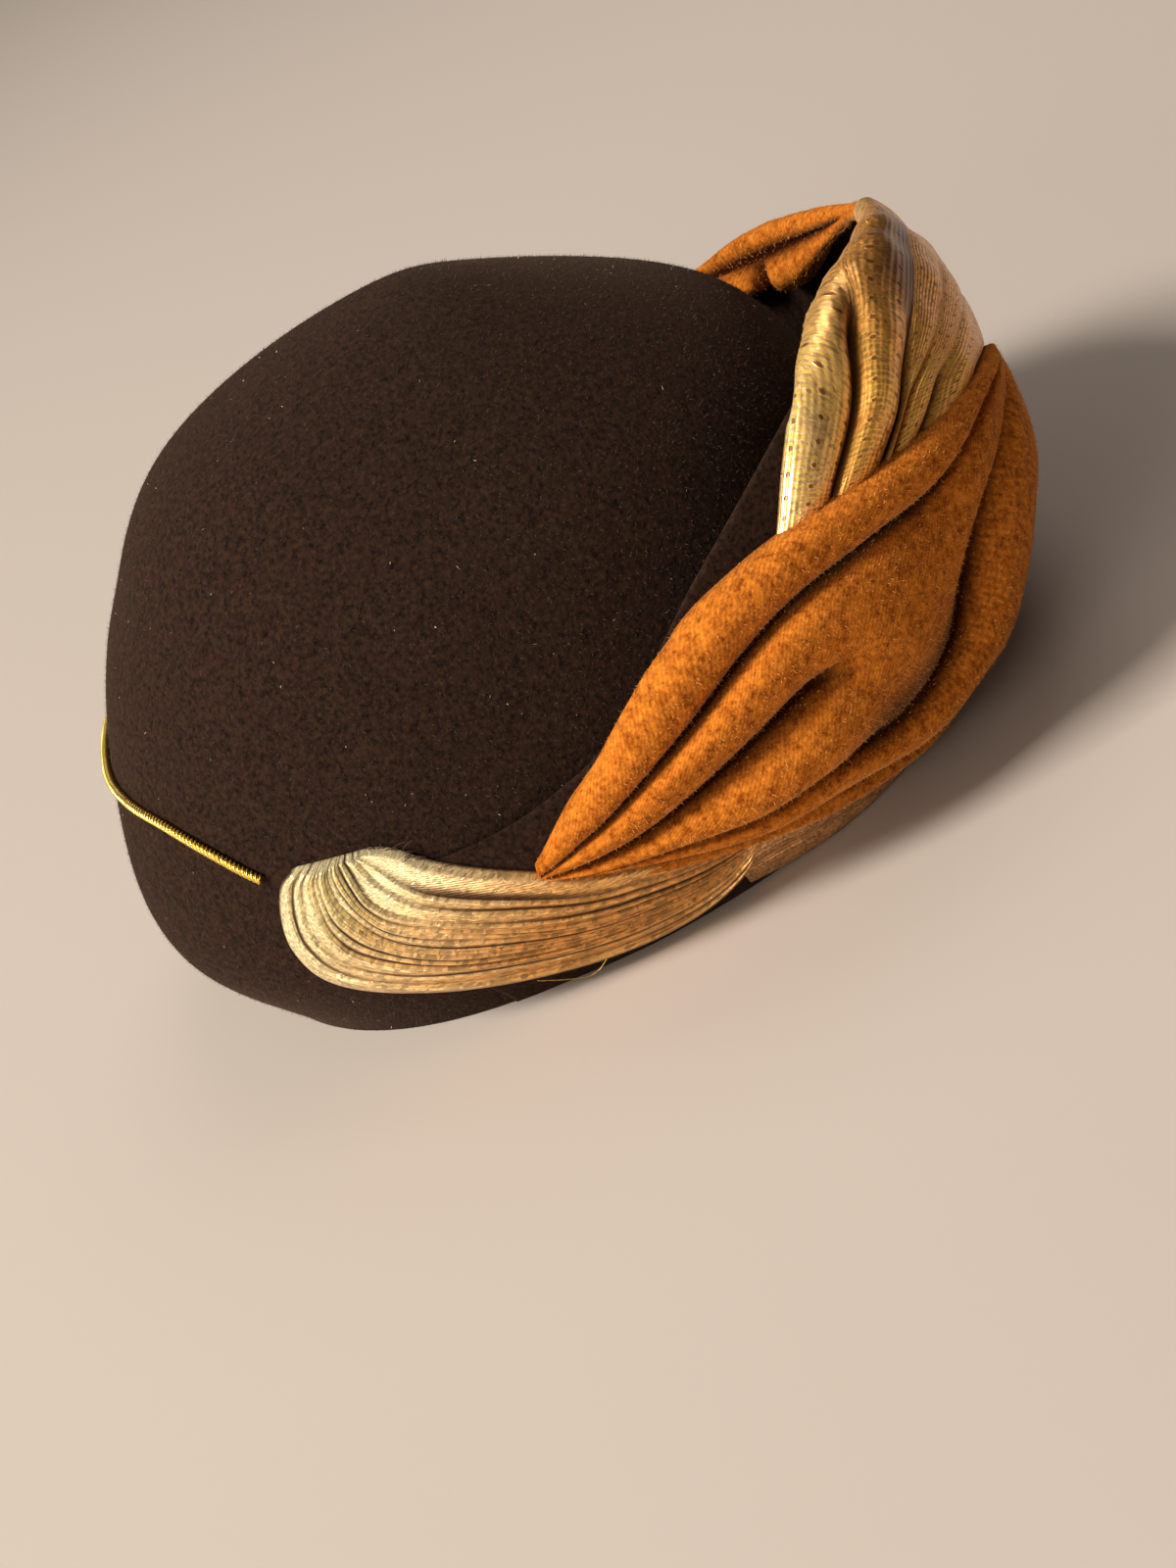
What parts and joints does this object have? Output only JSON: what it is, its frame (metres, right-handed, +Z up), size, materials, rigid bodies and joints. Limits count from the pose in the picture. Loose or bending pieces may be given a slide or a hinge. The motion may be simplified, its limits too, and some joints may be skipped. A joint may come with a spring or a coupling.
{
  "type": "felt halo hat with a rounded crown and a cloth twist",
  "caption": "Dark felt hat: a rounded crown in an upturned halo brim dressed with a twist of orange velvet and gold lame, pleated lame side drapes and a gold cord round the back.",
  "frame": {"origin": "middle of the hat's overall footprint, on the plane of the felt rim that it rests on", "axes": "+Z up through the crown, -Y out of the face side where the halo stands, +X to the wearer's left"},
  "size_m": [0.2232, 0.2602, 0.143],
  "materials": {
    "brown_felt": "dark chocolate fur felt with a short soft nap",
    "orange_velvet": "burnt orange pile velvet with a soft sheen",
    "gold_lame": "old gold metallic cloth with fine ribs",
    "gold_cord": "twisted metallic gold thread"
  },
  "bodies": {
    "root": {"crown": "brown_felt", "halo_brim": "brown_felt", "velvet_right": "orange_velvet", "velvet_left": "orange_velvet", "lame_twist": "gold_lame", "drape_right": "gold_lame", "drape_left": "gold_lame", "binding_right": "gold_lame", "binding_left": "gold_lame", "gold_cord": "gold_cord"}
  },
  "joints": []
}
